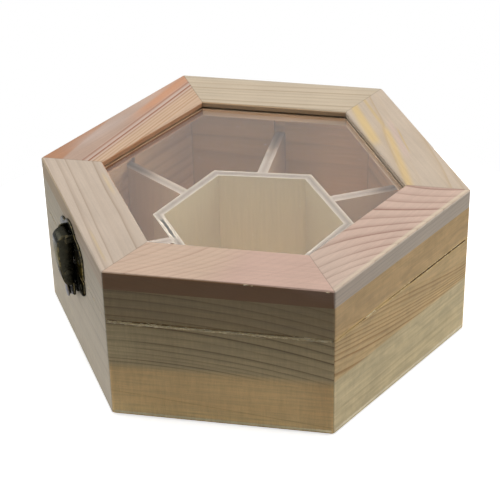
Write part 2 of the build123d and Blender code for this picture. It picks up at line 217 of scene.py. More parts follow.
# %% [markdown]
# ## Pine boards
# A board shows its tree's growth rings: pale early wood that darkens slowly to a thin line of late wood, then
# starts again. The rings are tubes round the tree's middle, the pith, so the same rings give straight lines
# on one face and arcs on another. So each board here is cut, in the shader, from such a bundle of tubes: the
# pith's place and lean decide the figure, as they do at the sawmill. Broad stains of heartwood and resin lie
# over that as soft bands, and some bands are painted light and shade: the front wall is painted darker on
# its lid and paler at its foot, the front rail's outer edge is painted dark, the openings have a painted
# highlight along their foot, and the upright corners are painted paler low down. Thin lines along the saw
# cut and the foot are partly torn fibres and partly painted shadow and highlight. The lid wall and the base
# wall of a side are one board, so the figure runs on over the saw line.

# %% A board's own directions
side_count = 6
half_turn = math.pi / side_count
corner_radius, cell_radius = 90.0, 42.6
apothem = corner_radius * math.cos(half_turn)
mitre_slope = math.tan(half_turn)
rail_middle = 66.0


def board_turn(side):
    """Turns the box's axes to a board's own: outwards, lengthways (anticlockwise) and upwards."""
    return Matrix.Rotation(-math.radians((side - 0.5) * 360 / side_count), 3, "Z")


outwards, lengthways, upwards = (1, 0, 0), (0, 1, 0), (0, 0, 1)
print("middle of a side is", round(apothem, 2), "mm from the box's axis")

# %% A soft slab
def slab(add, place, way, low, high, soft, top=1.0, blend="SMOOTHSTEP"):
    """A layer across the direction way: from 0 up to top at low and back to 0 at high, which is two ramps
    multiplied, each reaching as far as soft to either side of its place."""
    value = add("VectorMath DOT_PRODUCT", {0: place, 1: way}, pick="Value")
    rise = add("MapRange", {0: value, 1: low - soft, 2: low + soft}, interpolation_type=blend)
    fall = add("MapRange", {0: value, 1: high - soft, 2: high + soft, 3: top, 4: 0.0}, interpolation_type=blend)
    return add("Math MULTIPLY", {0: rise, 1: fall})


# %% Pine
def pine(
    name, side, early, late, pith=None, lean=lengthways, ring=3.0, first=0.0, rings=None, across=upwards, depth=0.6,
    bow=0.0, bow_from=0.0, twist=0.0, fan=None, bands=(), sharp=0.78, wave=1.0, uneven=1.0, alike=0.35, mottle=0.0,
    sawn=0.0, rims=(), grain=1.0, fibre_width=0.7,
):
    """Sanded raw pine: rough enough to have no highlight, with late wood standing a little proud.

    Places are in mm outwards, lengthways and upwards. With a pith the year is the distance from it over the
    ring width. With rings, for a board sawn far from the pith, the years are nearly flat sheets: late wood lies
    at these places along the direction across. Bow lifts them by bow x (distance lengthways) squared, twist by
    twist x distance lengthways x distance outwards from the rail's middle, and fan is a slope that starts at
    one height and is whole at another. A band is (direction, start, end, softness, colour, strength), a soft
    slab, and a second direction, start, end and softness may cut it short. A rim is a thin level mark along a
    sawn edge: (start, end, height, reach, colour, strength). Wave is how much the fibres wander, sharp where in
    the year the late wood starts, uneven how much the years differ in width, and alike the least share of its
    depth that a pale year keeps. Mottle, sawn and grain are how strongly curls, saw marks and fibres show, and
    real fibres are a tenth as wide as those drawn here."""
    material, add = new_material(name)
    place = add("TexCoord", pick="Object")
    turn = board_turn(side).to_euler()
    board = add("Mapping", {"Vector": place, "Rotation": turn})
    mm = add("VectorMath SCALE", {0: board, "Scale": 1000.0})
    # slow wander of the fibres, in waves about 16 mm across and 110 mm long, at another place for each board
    stretch = add("VectorMath MULTIPLY", {0: mm, 1: (0.06, 0.009, 0.06)})
    shifted = add("VectorMath ADD", {0: stretch, 1: (7.3 * side, 3.1, len(name))})
    wander = add("TexNoise", {"Vector": shifted, "Scale": 1.0, "Roughness": 0.45}, pick="Color")
    centred = add("VectorMath SUBTRACT", {0: wander, 1: (0.5, 0.5, 0.5)})
    amount = add("VectorMath SCALE", {0: centred, "Scale": 4.0 * wave})
    warped = add("VectorMath ADD", {0: mm, 1: amount})
    bent = warped
    if bow or twist or fan:
        parts = add("SeparateXYZ", {0: warped}).node.outputs
        if fan:
            steep, low, high = fan
            run, slope = parts[1], add("MapRange", {0: parts[2], 1: low, 2: high, 4: steep})
        else:
            run = add("Math SUBTRACT", {0: parts[1], 1: bow_from})
            off = add("Math SUBTRACT", {0: parts[0], 1: rail_middle})
            lean_out = add("Math MULTIPLY", {0: off, 1: twist})
            slope = add("Math MULTIPLY_ADD", {0: run, 1: bow, 2: lean_out})
        rise = add("Math MULTIPLY_ADD", {0: run, 1: slope, 2: parts[2]})
        bent = add("CombineXYZ", {0: parts[0], 1: parts[1], 2: rise})
    if rings:
        # the year grows by one from each line of late wood to the next
        rings = sorted(rings)
        low, high, last = rings[0], rings[-1], len(rings) - 1
        level = add("VectorMath DOT_PRODUCT", {0: bent, 1: across}, pick="Value")
        share = add("MapRange", {0: level, 1: low, 2: high})
        stops = [((place - low) / (high - low), count / last) for count, place in enumerate(rings)]
        count = add("ValToRGB", {0: share}, stops=stops)
        years = add("Math MULTIPLY_ADD", {0: count, 1: last, 2: first})
    else:
        # rings round the pith
        upright = Vector(lean).normalized().rotation_difference(Vector(lengthways)).to_matrix()
        shift = upright @ Vector(pith)
        local = add("Mapping", {"Vector": bent, "Rotation": upright.to_euler(), "Location": -shift})
        radial = add("VectorMath MULTIPLY", {0: local, 1: (1, 0, 1)})
        reach = add("VectorMath LENGTH", {0: radial}, pick="Value")
        years = add("Math MULTIPLY_ADD", {0: reach, 1: 1 / ring, 2: first})
    seasons = add("TexNoise", {"W": years, "Scale": 0.45, "Detail": 1.0}, noise_dimensions="1D")
    phase = add("Math MULTIPLY_ADD", {0: seasons, 1: 1.6 * uneven, 2: years})
    year = add("Math FRACT", {0: phase})
    stops = [(0.0, 0.2), (0.08, 0.0), (0.5, 0.06), (sharp, 0.45), (0.94, 1.0), (1.0, 0.2)]
    late_wood = add("ValToRGB", {0: year}, stops=stops)
    # some years are darker than others
    strength = add("TexNoise", {"W": phase, "Scale": 0.8, "Detail": 0.0}, noise_dimensions="1D")
    stronger = add("MapRange", {0: strength, 1: 0.3, 2: 0.7, 3: alike * depth, 4: 1.3 * depth})
    late_share = add("Math MULTIPLY", {0: late_wood, 1: stronger})
    tone = add("Mix", {0: late_share, 6: early, 7: late}, data_type="RGBA", pick=2)
    # bands of heartwood, resin or stain, and bands of painted light and shade
    for direction, start, end, soft, shade, share, *cut in bands:
        mask = slab(add, warped, direction, start, end, soft, share)
        if cut:
            mask = add("Math MULTIPLY", {0: mask, 1: slab(add, warped, *cut)})
        tone = add("Mix", {0: mask, 6: tone, 7: shade}, data_type="RGBA", pick=2)
    # thin level lines: pale where the saw tore the wood, painted shadow in the saw cut's gap, and a painted highlight
    # and a painted contact shadow along the foot
    parts = add("SeparateXYZ", {0: mm}).node.outputs
    for start, end, height, far, shade, share in rims:
        above = add("Math SUBTRACT", {0: parts[2], 1: height})
        off_seam = add("Math ABSOLUTE", {0: above})
        # its edge is ragged, with bites 2 mm long and 0.4 mm high
        ragged_place = add("VectorMath MULTIPLY", {0: mm, 1: (0.5, 0.5, 2.5)})
        ragged = add("TexNoise", {"Vector": ragged_place, "Scale": 1.0, "Detail": 3.0})
        limit = add("MapRange", {0: ragged, 1: 0.3, 2: 0.7, 3: 0.75 * far, 4: 1.25 * far})
        near = add("Math LESS_THAN", {0: off_seam, 1: limit})
        mask = add("Math MULTIPLY", {0: slab(add, mm, lengthways, start, end, 0.5, share, "LINEAR"), 1: near})
        tone = add("Mix", {0: mask, 6: tone, 7: shade}, data_type="RGBA", pick=2)
    # layers of grain, by cycles per mm each way, detail, roughness, distortion, half the span, and how much darker
    # and paler than the board they go: fibres, stains 22 mm across, curly patches 8 mm across, pores and dust
    # half a millimetre across, and upright ticks of the saw 1.2 mm apart
    layers = {
        "fibre": ((1 / fibre_width, 0.05, 1 / fibre_width), 3.0, 0.6, 0.0, 0.2, 0.07 * grain, 0.06 * grain),
        "stain": ((0.045, 0.045, 0.045), 2.0, 0.5, 0.0, 0.2, 0.04, 0.04),
        "patch": ((0.1, 0.09, 0.16), 2.0, 0.5, 0.8, 0.15, mottle, mottle),
        "pore": ((1.9, 1.9, 1.9), 2.0, 0.7, 0.0, 0.2, 0.035, 0.03),
        "tick": ((0.2, 0.85, 0.12), 3.0, 0.7, 0.0, 0.2, 0.12 * sawn, 0.08 * sawn),
    }
    shade, noise = 1.0, {}
    for layer, (cycles, detail, roughness, distortion, half, darker, paler) in layers.items():
        if darker:
            spread = add("VectorMath MULTIPLY", {0: mm, 1: cycles})
            look = {"Scale": 1.0, "Detail": detail, "Roughness": roughness, "Distortion": distortion}
            noise[layer] = add("TexNoise", {"Vector": spread, **look})
            span = {0: noise[layer], 1: 0.5 - half, 2: 0.5 + half, 3: 1 - darker, 4: 1 + paler}
            shade = add("Math MULTIPLY", {0: shade, 1: add("MapRange", span)})
    relief = add("Math MULTIPLY_ADD", {0: noise["fibre"], 1: 0.6, 2: late_share})
    if sawn:
        relief = add("Math MULTIPLY_ADD", {0: noise["tick"], 1: 0.8 * sawn, 2: relief})
    # a thin dark glue line where two boards meet in a mitre
    along = add("Math ABSOLUTE", {0: parts[1]})
    to_mitre = add("Math MULTIPLY", {0: parts[0], 1: mitre_slope})
    gap = add("Math SUBTRACT", {0: to_mitre, 1: along})
    glue = add("MapRange", {0: gap, 1: 0.08, 2: 0.3, 3: 0.72, 4: 1.0}, interpolation_type="SMOOTHSTEP")
    glued = add("Math MULTIPLY", {0: shade, 1: glue})
    # the upright corners are painted paler, most towards the foot: a painted highlight on the arris
    outside = add("Math GREATER_THAN", {0: parts[0], 1: apothem - 0.5})
    pale_edge_and_glint = add("MapRange", {0: parts[2], 1: 22.0, 2: 34.0, 3: 0.2, 4: 0.04})
    corner = add("MapRange", {0: gap, 1: 0.3, 2: 1.6, 3: 1.0, 4: 0.0})
    for part in (corner, outside):
        pale_edge_and_glint = add("Math MULTIPLY", {0: pale_edge_and_glint, 1: part})
    shade = add("Math MULTIPLY_ADD", {0: glued, 1: pale_edge_and_glint, 2: glued})
    colour = add("VectorMath SCALE", {0: tone, "Scale": shade})
    rough = add("MapRange", {0: noise["fibre"], 1: 0.3, 2: 0.7, 3: 0.56, 4: 0.72})
    bump = add("Bump", {"Height": relief, "Strength": 0.35, "Distance": 0.00012})
    finish = {"Roughness": rough, "Normal": bump, "Specular IOR Level": 0.35}
    wood = add("BsdfPrincipled", {"Base Color": colour, **finish})
    add("OutputMaterial", {"Surface": wood})
    return material


# %% The six rails
pine_rails = {
    1: dict(
        early="#CBB0A0", late="#8C6A5C", depth=0.8, pith=(58.51, 0, -15.3), lean=(-0.7289, 1, 0.3876), ring=1.532,
        first=0.85, bow=-0.00362, bow_from=0.9, twist=-0.01003, wave=0.12, uneven=0.15, sharp=0.82, alike=0.5,
        bands=[
            (outwards, 76.0, 77.6, 0.5, "#D9CCB2", 0.6),
            (outwards, 77.7, 90, 0.15, "#C3B9AA", 0.8),
            (lengthways, -90, -20, 12, "#C7B5A5", 0.4),
            ((0, -0.02, 1), 63.5, 64.0, 0.25, "#A89A8A", 0.3),
            ((0, -0.02, 1), 65.4, 65.8, 0.25, "#A89A8A", 0.35),
            ((0, -0.03, 1), 67.3, 67.8, 0.25, "#A3958A", 0.4),
        ],
    ),
    2: dict(
        early="#C5B4A1", late="#B9A284", depth=0.6, pith=(40, 0, 20), lean=(0.17, 1, 0), ring=3.4, wave=1.5,
        bands=[
            ((1, -0.186, 0), 61.4, 64.0, 1.2, "#D6B880", 0.72, lengthways, -36, 13, 4),
            ((1, -0.186, 0), 68.2, 69.0, 0.4, "#C9AC78", 0.65, lengthways, -8, 11, 3),
            ((1, -0.10, 0), 55.0, 58.4, 1.2, "#D7BA80", 0.72, lengthways, 3, 60, 4),
            ((1, -0.05, 0), 63.8, 65.4, 0.8, "#CDB27C", 0.6, lengthways, 16, 60, 5),
            ((1, -0.186, 0), 65.0, 67.6, 0.8, "#CDB4A8", 0.6, lengthways, -12, 18, 5),
        ],
    ),
    3: dict(
        early="#C8B8A1", late="#A8937A", depth=0.75, pith=(20, 0, 30), lean=(-0.04, 1, 0), ring=2.1, wave=0.6,
        uneven=0.5, bands=[(outwards, 75.5, 90, 1.5, "#BFB4A2", 0.5)],
    ),
    4: dict(
        early="#C6AE9F", late="#8F5C42", depth=1.0, rings=(61.6, 63.3, 65.0, 66.6, 68.2, 69.9, 71.8, 74.3, 98, 112),
        across=(1, 0.115, 0.1), wave=0.4, uneven=0.0, sharp=0.6, alike=0.8,
        bands=[
            ((1, 0.115, 0.1), 74.6, 110, 0.8, "#AD917E", 0.65, lengthways, -16, 70, 20),
            ((1, 0.115, 0.1), 74.4, 78.6, 1.2, "#C68E6A", 0.75, lengthways, -70, -6, 14),
            ((1, 0.115, 0.1), 77.5, 90, 1.4, "#BC8460", 0.5, lengthways, -70, -26, 12),
            ((1, 0.19, 0.1), 85.0, 110, 0.7, "#AC7A58", 0.75, lengthways, 4, 70, 4),
            ((1, 0.115, 0.1), 50, 69.8, 2.0, "#CFB08F", 0.6),
            (outwards, 70.5, 76, 3.0, "#C2B1A8", 0.5, lengthways, -4, 30, 10),
        ],
    ),
    5: dict(
        early="#C5B4A3", late="#9C8774", depth=0.5, pith=(40, 0, 30), lean=(0.035, 1, 0), ring=2.7, wave=0.7,
        uneven=0.4,
        bands=[
            (outwards, 73.4, 74.4, 0.5, "#D0B98F", 0.5, lengthways, 16, 38, 4),
            (outwards, 56.6, 58.0, 0.6, "#D0B98F", 0.5, lengthways, -22, -7, 4),
            (outwards, 77.7, 90, 0.15, "#AB9576", 0.75),
        ],
    ),
    6: dict(
        early="#CAB09B", late="#A98876", depth=0.5, pith=(14.5, -39, -65), lean=(-0.1, 0.94, -0.23), ring=1.18,
        wave=0.35, uneven=0.4,
        # the second band paints the front rail's outer edge dark brown: painted shade
        bands=[((0.3, 1, 0), 22, 120, 9.0, "#C7A79A", 0.7), (outwards, 77.75, 90, 0.15, "#785530", 0.9)],
    ),
}
# the face of the opening is browner, by rail: its colour over the glass and under it, and a paler line at its foot
# that is a painted highlight
usual_opening = ("#BE9478", "#A98069", "#DCC0A2")
opening = {
    2: ("#C9A37E", "#9C7F66", "#D0B79C"), 3: ("#CDA982", "#BF9F82", "#C9AC8C"), 4: ("#B07A52", "#5E3A26", "#A87E62"),
}
for side, look in pine_rails.items():
    over, under, foot = opening.get(side, usual_opening)
    look["bands"] = [
        *look["bands"],
        (outwards, 50, 55.3, 0.1, over, 0.75, upwards, 67.0, 69.9, 0.15),
        (outwards, 50, 55.4, 0.15, under, 0.9, upwards, 50, 65.3, 0.15),
        # a paler line along the opening's foot: painted highlight
        (outwards, 50, 55.4, 0.15, foot, 0.8, upwards, 50, 62.8, 0.2),
    ]
    dress([f"lid_rail_{side}"], pine(f"sanded pine rail {side}", side, **look))
print("rails dressed:", len(pine_rails))

# %% The six wall boards
pine_walls = {
    1: dict(
        early="#C8AC7F", late="#966F3C", depth=0.8, sawn=0.4, grain=1.8, fibre_width=0.8, wave=0.8, uneven=0.3,
        fan=(0.2, 16, 36), sharp=0.62,
        rings=(6.5, 10, 13.5, 16.8, 19.4, 22.6, 25, 27.2, 29, 32, 33.8, 35.5, 37.2, 39, 41.5, 43.6, 45.6), mottle=0.1,
        bands=[(upwards, -5, 27, 0.8, "#C8BC98", 0.7), (upwards, 48, 90, 3.0, "#C2A276", 0.7)],
        rims=[
            # the pale rim is torn fibres; the dark lines at the saw cut are painted shadow in its gap, and along the
            # foot lie a painted highlight over a painted contact shadow
            (-44, 44, 46.7, 1.1, "#E2C183", 0.45), (4, 43, 46.75, 0.38, "#4A2C04", 0.97),
            (-10, 4, 46.75, 0.2, "#6B4A1C", 0.85), (-30, -19, 46.3, 0.22, "#7A5A2C", 0.7),
            (-44, 44, 2.3, 0.6, "#E4D9BE", 0.85), (-44, 44, 0.4, 0.6, "#6A624F", 0.85),
        ],
    ),
    2: dict(early="#D6B082", late="#9E784F", depth=0.35, pith=(40, 0, 10), lean=(0.02, 1, 0.05), ring=4.8),
    3: dict(
        early="#C1985F", late="#8E6A42", depth=0.35, pith=(30, 0, 20), lean=(0, 1, 0.03), ring=4.6,
        bands=[(lengthways, -60, -18, 14, "#E8C090", 0.7)],
    ),
    4: dict(early="#C9A57C", late="#966A48", depth=0.35, pith=(45, 0, 60), lean=(0, 1, -0.04), ring=4.2),
    5: dict(
        early="#C2B6A2", late="#A1927E", depth=0.5, pith=(40, 0, 10), lean=(0, 1, 0.02), ring=3.0, sawn=0.6, grain=1.6,
        bands=[(lengthways, -60, -14, 12, "#B2A893", 0.4), (outwards, 60, 72, 0.5, "#CFB898", 0.8)],
    ),
    6: dict(
        early="#BCA880", late="#655031", depth=0.9, bow=0.00145, bow_from=-40, sawn=0.9, grain=2.3, fibre_width=0.9,
        wave=0.35, uneven=0.0, sharp=0.8, alike=0.5,
        rings=(26.2, 27.7, 29.4, 31.0, 32.7, 35.2, 38.3, 42.3, 46.2, 50.4, 54.5, 58.4, 62, 66, 70),
        bands=[
            # the lower zone is paler, partly its own colour and partly painted light from the table, and paler still
            # at the foot: painted light
            (upwards, -5, 25.3, 2.4, "#E0BE86", 0.93),
            (upwards, -5, 6.0, 5.0, "#FBE0A4", 0.55),
            (lengthways, 36, 70, 7, "#A8834F", 0.35, upwards, -9, 26, 2),
            (lengthways, -70, -34, 8, "#D2BE92", 0.5, upwards, 29, 45, 3),
            # the lid part is darker: painted shade
            (upwards, 47, 90, 4.0, "#8E7859", 0.5),
            ((0, 0.1, 1), 7.9, 8.3, 0.3, "#A98755", 0.5),
        ],
        rims=[
            # along the saw cut a dark line of painted shadow lies over a pale line of torn fibres, and along the foot
            # a painted highlight lies over a painted contact shadow
            (-44, 31, 47.35, 0.42, "#6B5224", 0.75), (-44, 44, 46.6, 0.4, "#FFF8E2", 1.0),
            (-44, 44, 1.9, 0.5, "#FFF3CF", 0.9), (-44, 44, 0.5, 0.5, "#7C6A46", 0.75),
        ],
    ),
}
for side, look in pine_walls.items():
    dress([f"lid_wall_{side}", f"base_wall_{side}"], pine(f"sanded pine wall {side}", side, **look))
print("walls dressed:", len(pine_walls))

# %% [markdown]
# ## Plywood
# The insert and the floor are thin three-ply: two pale face veneers on a darker core whose grain runs the
# other way, so a sawn edge shows light, dark, light. The layers are real slabs in the shader, counted across
# each board's thickness, and so the edge stripes and the plain faces come from one rule.

# %% Plywood
def plywood(
    name, angle, middle, thickness, inner="#C9AC87", level=False, edge=("#998F83", "#83796E", "#6F655C"), void=None,
    painted_light_fade=None,
):
    """Three-ply: across runs over the thickness from one face to the other, 0 to 1, and picks the layer.

    Angle is the direction across the board in degrees, or the board is level. Middle is where the middle of
    the thickness lies, in mm from the box's axis or from the table. Edge is the three colours of a sawn edge:
    its rims, the face layers and the core. A void is a hole in the core, from one place to another along it.
    painted_light_fade is (start, end, tint at start, tint at end) along the board: painted shade where a tint is under
    1, and painted light where it is over 1."""
    material, add = new_material(name)
    place = add("TexCoord", pick="Object")
    turn = Matrix.Rotation(math.pi / 2, 3, "Y") if level else Matrix.Rotation(-math.radians(angle), 3, "Z")
    board = add("Mapping", {"Vector": place, "Rotation": turn.to_euler(), "Scale": (1000, 1000, 1000)})
    parts = add("SeparateXYZ", {0: board}).node.outputs
    # sawn veneers waver by a quarter of a millimetre either way, in waves about 2 mm long
    rough_edge = add("TexNoise", {"Vector": board, "Scale": 0.5, "Detail": 3.0})
    wavy = add("Math MULTIPLY_ADD", {0: rough_edge, 1: 0.5, 2: parts[0]})
    low, high = middle - thickness / 2, middle + thickness / 2
    across = add("MapRange", {0: wavy, 1: low + 0.25, 2: high + 0.25}, clamp=False)
    outer = "#C9AC87"
    faces = [(0.0, inner), (0.29, inner), (0.34, "#8C8070"), (0.66, "#978A7A"), (0.71, outer), (1.0, outer)]
    layer = add("ValToRGB", {0: across}, stops=faces)
    # sawn edges are greyer: the fibres end there
    pale, plain, core = edge
    places = (0.0, 0.14, 0.22, 0.32, 0.4, 0.6, 0.68, 0.78, 0.86, 1.0)
    shades = (pale, pale, plain, plain, core, core, plain, plain, pale, pale)
    sawn_edge = add("ValToRGB", {0: across}, stops=list(zip(places, shades)))
    if void:
        # a knot fell out of the core veneer: the hole is painted as a dark slot, painted shade, that opens and closes
        # raggedly, every 3 mm or so
        ragged = add("TexNoise", {"Vector": board, "Scale": 0.35})
        half_slot = add("MapRange", {0: ragged, 1: 0.35, 2: 0.62, 3: 0.13, 4: 0.24})
        to_middle = add("Math SUBTRACT", {0: across, 1: 0.52})
        off_middle = add("Math ABSOLUTE", {0: to_middle})
        inside = add("Math LESS_THAN", {0: off_middle, 1: half_slot})
        lip = add("Math ADD", {0: half_slot, 1: 0.1})
        beside = add("Math LESS_THAN", {0: off_middle, 1: lip})
        after = add("MapRange", {0: parts[1], 1: void[0], 2: void[0] + 2})
        before = add("MapRange", {0: parts[1], 1: void[1] - 3, 2: void[1], 3: 0.95, 4: 0.0})
        length = add("Math MULTIPLY", {0: after, 1: before})
        for mask, shade in ((beside, "#C9BEAD"), (inside, "#1C1712")):
            part = add("Math MULTIPLY", {0: length, 1: mask})
            sawn_edge = add("Mix", {0: part, 6: sawn_edge, 7: shade}, data_type="RGBA", pick=2)
    # painted shade and painted light along the board, by the two tints
    if painted_light_fade:
        start, end, near, far = painted_light_fade
        travel = add("MapRange", {0: parts[1], 1: start, 2: end}, interpolation_type="SMOOTHSTEP")
        step = tuple(b - a for a, b in zip(near, far))
        tint = add("VectorMath MULTIPLY_ADD", {0: travel, 1: step, 2: near})
        sawn_edge = add("VectorMath MULTIPLY", {0: sawn_edge, 1: tint})
    facing_up = add("SeparateXYZ", {0: add("TexCoord", pick="Normal")}, pick=2)
    on_edge = add("MapRange", {0: facing_up, 1: 0.5, 2: 0.8, 3: 0.0, 4: 0.0 if level else 1.0})
    layer = add("Mix", {0: on_edge, 6: layer, 7: sawn_edge}, data_type="RGBA", pick=2)
    # fibres are a tenth of a millimetre wide, and are drawn 1 mm wide and 20 mm long, so that they show
    grain_place = add("VectorMath MULTIPLY", {0: board, 1: (1.0, 0.9, 0.05)})
    grain = add("TexNoise", {"Vector": grain_place, "Scale": 1.0, "Detail": 4.0, "Roughness": 0.6})
    tone = add("MapRange", {0: grain, 1: 0.3, 2: 0.7, 3: 0.94, 4: 1.05})
    colour = add("VectorMath SCALE", {0: layer, "Scale": tone})
    bump = add("Bump", {"Height": grain, "Strength": 0.3, "Distance": 0.0001})
    finish = {"Roughness": 0.62, "Normal": bump, "Specular IOR Level": 0.35}
    ply = add("BsdfPrincipled", {"Base Color": colour, **finish})
    add("OutputMaterial", {"Surface": ply})
    return material


# %% The insert's boards and the floor
cell_outside = cell_radius * math.cos(half_turn)
cell_board, divider_board, floor_board = 4.0, 4.5, 3.0
cell_turn = 3.3
wall_board, dado = 8.0, 1.8
turned = math.radians(cell_turn)
# a divider runs from the middle of a cell board to its dado, so it leans by the cell's turn
start = Vector((math.cos(turned), math.sin(turned))) * cell_outside
end = Vector((apothem - wall_board + dado, 0))
way = (end - start).normalized()
divider_turn = math.degrees(math.atan2(way.x, -way.y))
divider_middle = start.x * -way.y + start.y * way.x
# tints along each divider's top: painted shade towards the cell and painted light towards the wall, most on the far
# divider
painted_light = (0.74, 0.71, 0.69)
for side in range(1, side_count + 1):
    facing = (side - 0.5) * 360 / side_count
    cell = plywood(
        f"plywood cell board {side}", facing + cell_turn, cell_outside - cell_board / 2, cell_board,
        inner="#C1B492" if side == 3 else "#B7AA8A", void=(-17.5, 1.0) if side == 5 else None,
    )
    dress([f"cell_wall_{side}"], cell)
    painted_light_at_wall = (1.25, 1.1, 0.97) if side == 3 else (1.04, 0.94, 0.85)
    divider = plywood(
        f"plywood divider {side}", facing + divider_turn, divider_middle, divider_board,
        edge=("#ADA298", "#A2978C", "#90857B"), painted_light_fade=(-49, -59, painted_light, painted_light_at_wall),
    )
    dress([f"divider_{side}"], divider)
dress(["base_floor"], plywood("plywood floor", 0, floor_board / 2, floor_board, level=True))
print("plywood boards:", 2 * side_count + 1)

# %% [markdown]
# ## Glass
# The pane is clear float glass, 2 mm thick, which shows the insert through a faint reflection of the white
# room. Light must also pass straight through it to the compartments, so lamps see it as clear.

# %% Glass
glass, add = new_material("clear float glass")
pane = add("BsdfPrincipled", {"Base Color": "#FFFFFF", "Roughness": 0.0, "IOR": 1.5, "Transmission Weight": 1.0})
clear = add("BsdfTransparent", {"Color": "#FFFDF8"})
through = add("MixShader", {0: add("LightPath", pick="Is Shadow Ray"), 1: pane, 2: clear})
add("OutputMaterial", {"Surface": through})
dress(["glass_pane"], glass)
# the left panel puts its gleam on the bronze: the pane is left out of what it lights, so as not to mirror it
unlit = bpy.data.collections.new("not lit by the left panel")
unlit.objects.link(nodes["glass_pane"])
left_panel.light_linking.receiver_collection = unlit
unlit.collection_objects[0].light_linking.link_state = "EXCLUDE"
print("glass on", [m.name for m in nodes["glass_pane"].data.materials])

# %% [markdown]
# ## Antique bronze
# Hinges and latch are stamped steel with a nearly black bronze plating, scuffed through to brass on the rims,
# and that brass also stands in for glints of light there: partly scuffing and partly painted highlight. The
# plating is a metal, so its colour is the colour of its reflections, and its tint at a glancing angle is set by
# height: painted reflection. Each new piece says where its rims are scuffed and glint with an attribute called
# wear_and_glint, which is 1 on a rounded rim.

# %% Antique bronze
bronze, add = new_material("antique bronze plated steel")
place = add("TexCoord", pick="Object")
# the tarnish lies in clouds about 4 mm across
cloud = add("TexNoise", {"Vector": place, "Scale": 260.0, "Detail": 4.0, "Roughness": 0.6})
stops = [(0.3, "#201F19"), (0.55, "#302F27"), (0.72, "#494231")]
tarnish = add("ValToRGB", {0: cloud}, stops=stops, name="tarnish")
pale_edge_and_glint = add("Attribute", attribute_name="wear_and_glint", pick="Fac")
# a millimetre or two of scuffed rim, brass that also stands in for a glint: painted highlight, then as much that is
# still dark
rub_and_glint_noise = add("TexNoise", {"Vector": place, "Scale": 650.0})
patchy = add("MapRange", {0: rub_and_glint_noise, 1: 0.48, 2: 0.62, 3: 0.05, 4: 0.5})
brass_and_glint_share = add("Math MULTIPLY", {0: pale_edge_and_glint, 1: patchy})
plating = add("Mix", {0: brass_and_glint_share, 6: tarnish, 7: "#8C7A50"}, data_type="RGBA", pick=2)
rough = add("MapRange", {0: cloud, 1: 0.3, 2: 0.7, 3: 0.2, 4: 0.38})
# the plating's pits are far finer, and are drawn 0.7 mm wide, so that they show
pits = add("TexNoise", {"Vector": place, "Scale": 1400.0})
bump = add("Bump", {"Height": pits, "Strength": 0.25, "Distance": 0.00008})
# painted reflection: seen at a glancing angle the plating is tinted blue-grey high up, and browner and duller towards
# the seam and below, by height
height = add("SeparateXYZ", {0: place}, pick=2)
level = add("MapRange", {0: height, 1: 0.038, 2: 0.062})
painted_reflection_stops = [(0.25, "#6E6A5F"), (0.42, "#B5AF9C"), (0.66, "#BDB8A8"), (0.85, "#CBCCCE")]
painted_reflection_tint = add("ValToRGB", {0: level}, stops=painted_reflection_stops, name="painted_reflection_tint")
look = {"Base Color": plating, "Metallic": 1.0, "Roughness": rough, "Specular Tint": painted_reflection_tint, "Normal": bump}
metal = add("BsdfPrincipled", look)
add("OutputMaterial", {"Surface": metal})
print("nodes in the bronze:", len(bronze.node_tree.nodes))

# %% Painted reflection on the knob, and stamped rims
# the knob gets a copy with paler plating and a blue-grey glancing tint like the top: painted reflection
painted_reflection_bronze = bronze.copy()
painted_reflection_bronze.name = "handled antique bronze"
for ramp, shades in (("painted_reflection_tint", ["#D4D3D8"]), ("tarnish", ["#3A3936", "#605F60", "#7C7B80"])):
    for element, shade in zip(painted_reflection_bronze.node_tree.nodes[ramp].color_ramp.elements, shades):
        element.color = linear(shade)
metal_nodes = [n for n in nodes if n.startswith(("hinge", "latch"))]
dress(metal_nodes, bronze)
rim_round = 0.00022
for name in metal_nodes:
    weld = nodes[name].modifiers.new("join triangles", "WELD")
    weld.merge_threshold = 0.00001
    bevel = nodes[name].modifiers.new("stamped rims", "BEVEL")
    bevel.width = rim_round
    bevel.segments = 2
    bevel.limit_method = "ANGLE"
    bevel.angle_limit = math.radians(50)
print("bronze nodes:", len(metal_nodes))

# %% [markdown]
# ## Latch
# The plates were pressed from one blank and parted at the seam, the tongue is a folded trough that swings
# between two ears, and a little turned spool is riveted to its tail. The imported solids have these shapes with
# square rims. The rims are what the eye catches on such small dark metal, so each piece is worked out anew
# as rings of points that go round a rounded rim.

# %% Latch measures in mm, from the outer face and the seam
seam_height = 46.7
seam_edge = 0.6
sheet = 0.8
half_plate = 16.5
half_lobe = 7.6
corner_lobe = 13.8
pivot = (2.5, 13.7)
half_tongue = 4.0
tail_back, tail_front = 1.1, 2.0
knob_height = -13.7


def latch_place(along, out, up):
    """Places in metres from mm along the latch's face, out from it and up from the seam."""
    return np.stack(np.broadcast_arrays(along, -apothem - out, seam_height + up), axis=-1) / 1000


def arc(start, middle, end, count):
    """Points on the circle through three points. Its centre is as far from start as from middle and end."""
    a, b, c = (np.array(point, float) for point in (start, middle, end))
    centre = np.linalg.solve(np.array([b - a, c - a]) * 2, [b @ b - a @ a, c @ c - a @ a])
    first, second, third = (math.atan2(*(point - centre)[::-1]) for point in (a, b, c))
    full = 2 * math.pi
    way = 1 if (second - first) % full < (third - first) % full else -1
    angle = np.linspace(0, (way * (third - first)) % full, count) * way + first
    return centre + np.linalg.norm(a - centre) * np.stack([np.cos(angle), np.sin(angle)], axis=1)


print("the latch stands out from", round(apothem, 2), "mm")


